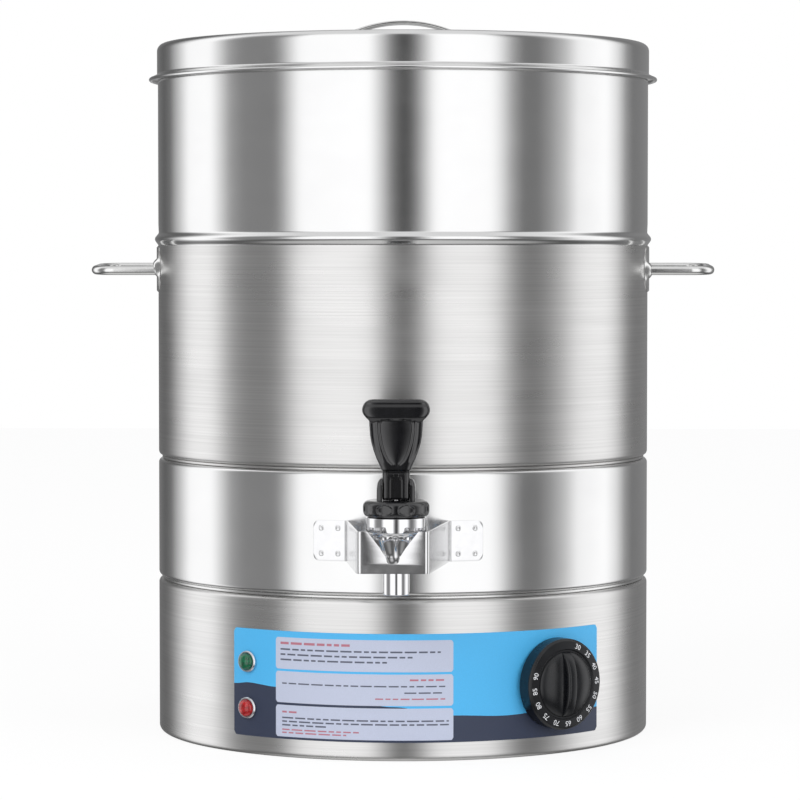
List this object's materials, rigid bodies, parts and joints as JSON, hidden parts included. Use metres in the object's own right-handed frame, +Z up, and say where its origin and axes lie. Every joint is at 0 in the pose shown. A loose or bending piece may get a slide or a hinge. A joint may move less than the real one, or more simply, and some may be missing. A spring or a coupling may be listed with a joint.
{
  "type": "hot water urn",
  "caption": "Tall round stainless water urn with a slip-over lid, side handles, guarded lever tap, control panel with lamps and a thermostat knob.",
  "frame": {"origin": "on the urn's axis, at the plane of the skirt's bottom edge that the urn stands on", "axes": "+Z up along the urn's axis, the tap points along -Y, the thermostat knob lies on the +X side of the tap"},
  "size_m": [0.4338, 0.439, 0.4916],
  "materials": {
    "brushed_stainless": "stainless sheet brushed round the body",
    "polished_stainless": "bright polished stainless sheet",
    "polished_rod": "polished stainless rod and strap",
    "guard_stainless": "bright stainless strip with spot welds",
    "tank_stainless": "satin stainless sheet",
    "glass_wool": "pressed glass wool blanket",
    "galvanised_sheet": "galvanised sheet steel",
    "zinc_screw": "zinc plated steel",
    "chromed_brass": "chrome plated casting",
    "black_plastic": "glossy black heat proof plastic",
    "knob_plastic": "satin black plastic with white numbers",
    "steel_shaft": "bright turned steel",
    "silicone": "soft translucent silicone",
    "brass": "turned brass",
    "label_print": "printed plastic overlay, sky blue over dark slate",
    "lamp_bezel": "bright metal ring",
    "green_lens": "dark green translucent lens",
    "red_lens": "dark red translucent lens",
    "white_plastic": "moulded white plastic",
    "thermostat_case": "pressed metal case",
    "copper_tube": "drawn copper tube",
    "element_sheath": "heat tinted steel tube",
    "gland_plastic": "black moulded nylon",
    "wire_brown": "brown wire covering",
    "wire_blue": "blue wire covering",
    "wire_white": "white wire covering",
    "wire_green": "green and yellow wire covering"
  },
  "bodies": {
    "urn": {"base_skirt": "brushed_stainless", "middle_band": "brushed_stainless", "tap_band": "polished_stainless", "top_band": "polished_stainless", "left_handle": "polished_rod", "right_handle": "polished_rod", "left_handle_plate": "polished_rod", "right_handle_plate": "polished_rod", "tap_guard": "guard_stainless", "inner_tank": "tank_stainless", "insulation": "glass_wool", "bottom_cover": "galvanised_sheet", "cover_screws": "zinc_screw", "terminal_screws": "zinc_screw", "thermostat_screws": "zinc_screw", "earth_stud": "zinc_screw", "bulb_clips": "zinc_screw", "tap_body": "chromed_brass", "tap_bonnet": "black_plastic", "tap_spring": "steel_shaft", "tap_outer_washer": "silicone", "tap_inner_washer": "silicone", "element_gaskets": "silicone", "tap_shank_nut": "brass", "element_nuts": "brass", "control_label": "label_print", "green_lamp_housing": "lamp_bezel", "red_lamp_housing": "lamp_bezel", "green_lamp_lens": "green_lens", "red_lamp_lens": "red_lens", "lamp_nuts": "white_plastic", "thermostat_body": "thermostat_case", "thermal_cutout": "thermostat_case", "thermostat_capillary": "copper_tube", "heating_element": "element_sheath", "terminal_block": "white_plastic", "cable_gland": "gland_plastic", "cable_gland_cap": "gland_plastic", "cable_gland_locknut": "gland_plastic", "live_wires": "wire_brown", "neutral_wires": "wire_blue", "lamp_wires": "wire_white", "earth_wire": "wire_green"},
    "lid": {"lid": "polished_stainless", "lid_handle": "polished_rod", "lid_handle_rivets": "polished_rod"},
    "tap_valve": {"tap_stem": "steel_shaft", "tap_seat_cup": "silicone"},
    "tap_lever": {"tap_lever": "black_plastic", "tap_lever_pin": "steel_shaft"},
    "knob": {"thermostat_knob": "knob_plastic", "thermostat_shaft": "steel_shaft"}
  },
  "joints": [
    {"name": "lid_lift", "type": "slide", "parent": "urn", "child": "lid", "axis": [0, 0, 1], "range_m": [0, 0.15]},
    {"name": "tap_valve_lift", "type": "slide", "parent": "urn", "child": "tap_valve", "axis": [0, 0, 1], "range_m": [0, 0.0036], "deforming": ["tap_spring"]},
    {"name": "tap_lever_tilt", "type": "hinge", "parent": "tap_valve", "child": "tap_lever", "pos_m": [0, -0.222, 0.1822], "axis": [1, 0, 0], "range_deg": [0, 40], "stiffness_Nm_per_rad": 0.3, "springref_deg": -17.19},
    {"name": "knob_turn", "type": "hinge", "parent": "urn", "child": "knob", "pos_m": [0.10254, -0.13559, 0.0478], "axis": [-0.6032, 0.7976, 0], "range_deg": [0, 320]}
  ],
  "couplings": [
    {"joint": "tap_valve_lift", "follows": "tap_lever_tilt", "m_per_rad": 0.005013}
  ]
}
